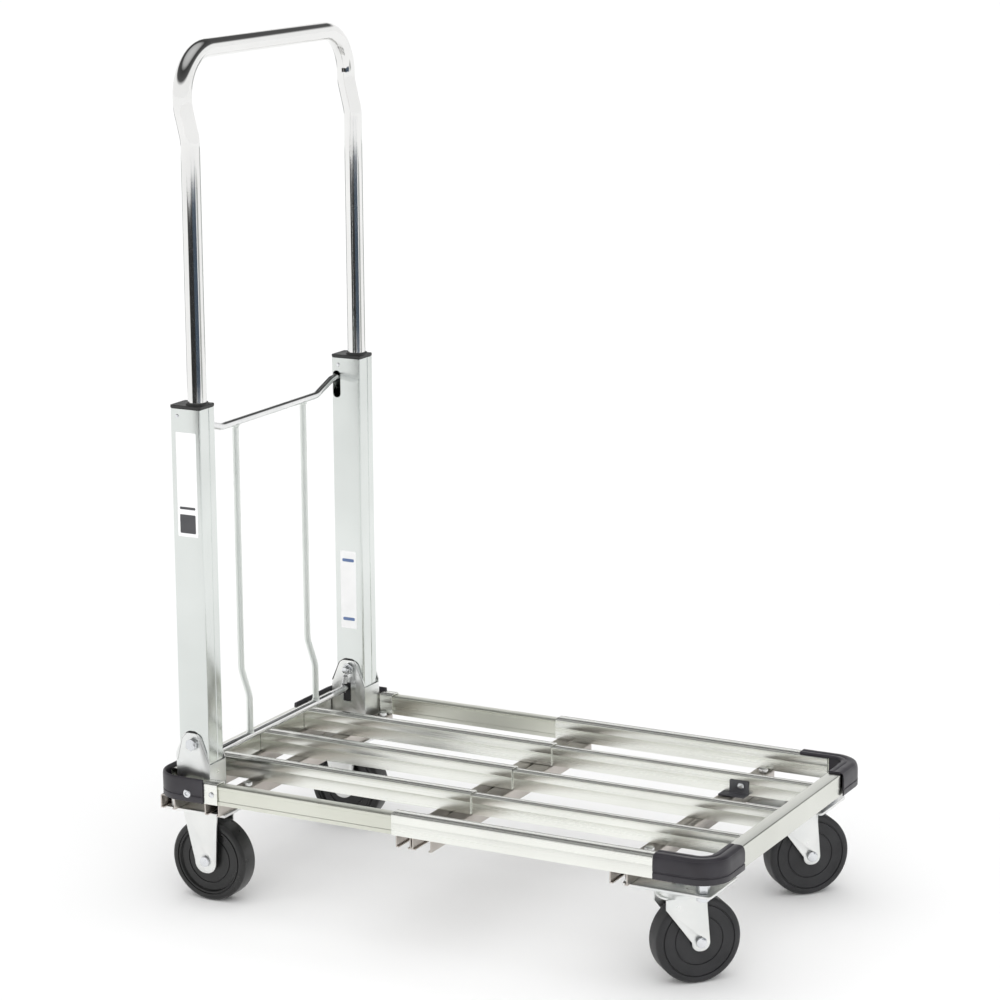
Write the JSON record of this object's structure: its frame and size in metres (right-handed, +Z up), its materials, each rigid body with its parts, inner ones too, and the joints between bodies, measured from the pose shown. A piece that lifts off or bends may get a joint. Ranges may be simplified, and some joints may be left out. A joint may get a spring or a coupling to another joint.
{
  "type": "folding platform cart",
  "caption": "Low slatted aluminium platform on rubber wheels, with a deck that telescopes lengthwise and a chromed push handle that slides into posts and folds flat",
  "frame": {"origin": "on the floor, midway between the ends of the extended deck and between its sides", "axes": "+X points from the handle end to the front, +Y to the left side of the cart as seen by the person pushing it, +Z up"},
  "size_m": [0.7265, 0.4346, 1.012],
  "materials": {
    "deck_aluminium": "satin extruded and lengthwise drawn",
    "post_metal": "bright extruded",
    "handle_chrome": "polished plating",
    "rod_zinc": "bright plated wire",
    "zinc_sheet": "bright zinc plated sheet steel",
    "fastener_zinc": "zinc plated",
    "dark_bracket": "dark coated",
    "bumper_plastic": "moulded with a soft sheen",
    "cap_plastic": "moulded",
    "wheel_rubber": "solid rubber with turned grooves"
  },
  "bodies": {
    "rear_frame": {"rail_inner_left": "deck_aluminium", "rail_inner_right": "deck_aluminium", "rail_stop_left": "deck_aluminium", "rail_stop_right": "deck_aluminium", "slat_rear_left": "deck_aluminium", "slat_rear_middle": "deck_aluminium", "slat_rear_right": "deck_aluminium", "end_rail_rear": "deck_aluminium", "corner_bumper_rear_left": "bumper_plastic", "corner_bumper_rear_right": "bumper_plastic", "cross_member_rear": "zinc_sheet", "cross_member_bracket": "zinc_sheet", "cross_member_middle": "zinc_sheet", "post_bracket_left": "zinc_sheet", "post_bracket_right": "zinc_sheet", "post_pivot_bolt_left": "fastener_zinc", "post_pivot_bolt_right": "fastener_zinc", "caster_fork_rear_left": "zinc_sheet", "caster_fork_rear_right": "zinc_sheet", "axle_bolt_rear_left": "fastener_zinc", "axle_bolt_rear_right": "fastener_zinc"},
    "front_frame": {"rail_outer_left": "deck_aluminium", "rail_outer_right": "deck_aluminium", "slat_front_left": "deck_aluminium", "slat_front_middle": "deck_aluminium", "slat_front_right": "deck_aluminium", "end_rail_front": "deck_aluminium", "corner_bumper_front_left": "bumper_plastic", "corner_bumper_front_right": "bumper_plastic", "cross_member_slide": "zinc_sheet", "cross_member_front": "zinc_sheet", "caster_plate_left": "zinc_sheet", "caster_plate_right": "zinc_sheet", "caster_kingpin_left": "zinc_sheet", "caster_kingpin_right": "zinc_sheet", "caster_spacer_left": "zinc_sheet", "caster_spacer_right": "zinc_sheet", "slat_angle_bracket": "dark_bracket"},
    "posts": {"post_left": "post_metal", "post_right": "post_metal", "post_cap_left": "cap_plastic", "post_cap_right": "cap_plastic", "release_spring_left": "rod_zinc", "release_spring_right": "rod_zinc"},
    "handle": {"handle_bar": "handle_chrome", "handle_glide_left": "cap_plastic", "handle_glide_right": "cap_plastic"},
    "release": {"release_frame": "rod_zinc"},
    "swivel_left": {"caster_fork_front_left": "zinc_sheet", "axle_bolt_front_left": "fastener_zinc"},
    "swivel_right": {"caster_fork_front_right": "zinc_sheet", "axle_bolt_front_right": "fastener_zinc"},
    "front_wheel_left": {"wheel_front_left": "wheel_rubber"},
    "front_wheel_right": {"wheel_front_right": "wheel_rubber"},
    "rear_wheel_left": {"wheel_rear_left": "wheel_rubber"},
    "rear_wheel_right": {"wheel_rear_right": "wheel_rubber"}
  },
  "joints": [
    {"name": "deck_extend", "type": "slide", "parent": "rear_frame", "child": "front_frame", "axis": [1, 0, 0], "range_m": [-0.22, 0]},
    {"name": "handle_fold", "type": "hinge", "parent": "rear_frame", "child": "posts", "pos_m": [-0.315, 0, 0.2], "axis": [0, 1, 0], "range_deg": [0, 90]},
    {"name": "handle_telescope", "type": "slide", "parent": "posts", "child": "handle", "axis": [0, 0, 1], "range_m": [-0.285, 0]},
    {"name": "release_press", "type": "slide", "parent": "posts", "child": "release", "axis": [0, 0, 1], "range_m": [-0.008, 0], "stiffness_N_per_m": 1200, "springref_m": 0.012, "deforming": ["release_spring_left", "release_spring_right"]},
    {"name": "caster_swivel_left", "type": "hinge", "parent": "front_frame", "child": "swivel_left", "pos_m": [0.291, 0.16, 0.1], "axis": [0, 0, 1], "continuous": true},
    {"name": "caster_swivel_right", "type": "hinge", "parent": "front_frame", "child": "swivel_right", "pos_m": [0.291, -0.16, 0.1], "axis": [0, 0, 1], "continuous": true},
    {"name": "front_wheel_spin_left", "type": "hinge", "parent": "swivel_left", "child": "front_wheel_left", "pos_m": [0.3035, 0.17295, 0.05], "axis": [-0.7193, 0.6947, 0], "continuous": true},
    {"name": "front_wheel_spin_right", "type": "hinge", "parent": "swivel_right", "child": "front_wheel_right", "pos_m": [0.3035, -0.14705, 0.05], "axis": [-0.7193, 0.6947, 0], "continuous": true},
    {"name": "rear_wheel_spin_left", "type": "hinge", "parent": "rear_frame", "child": "rear_wheel_left", "pos_m": [-0.3145, 0.16, 0.05], "axis": [0, 1, 0], "continuous": true},
    {"name": "rear_wheel_spin_right", "type": "hinge", "parent": "rear_frame", "child": "rear_wheel_right", "pos_m": [-0.3145, -0.16, 0.05], "axis": [0, 1, 0], "continuous": true}
  ]
}
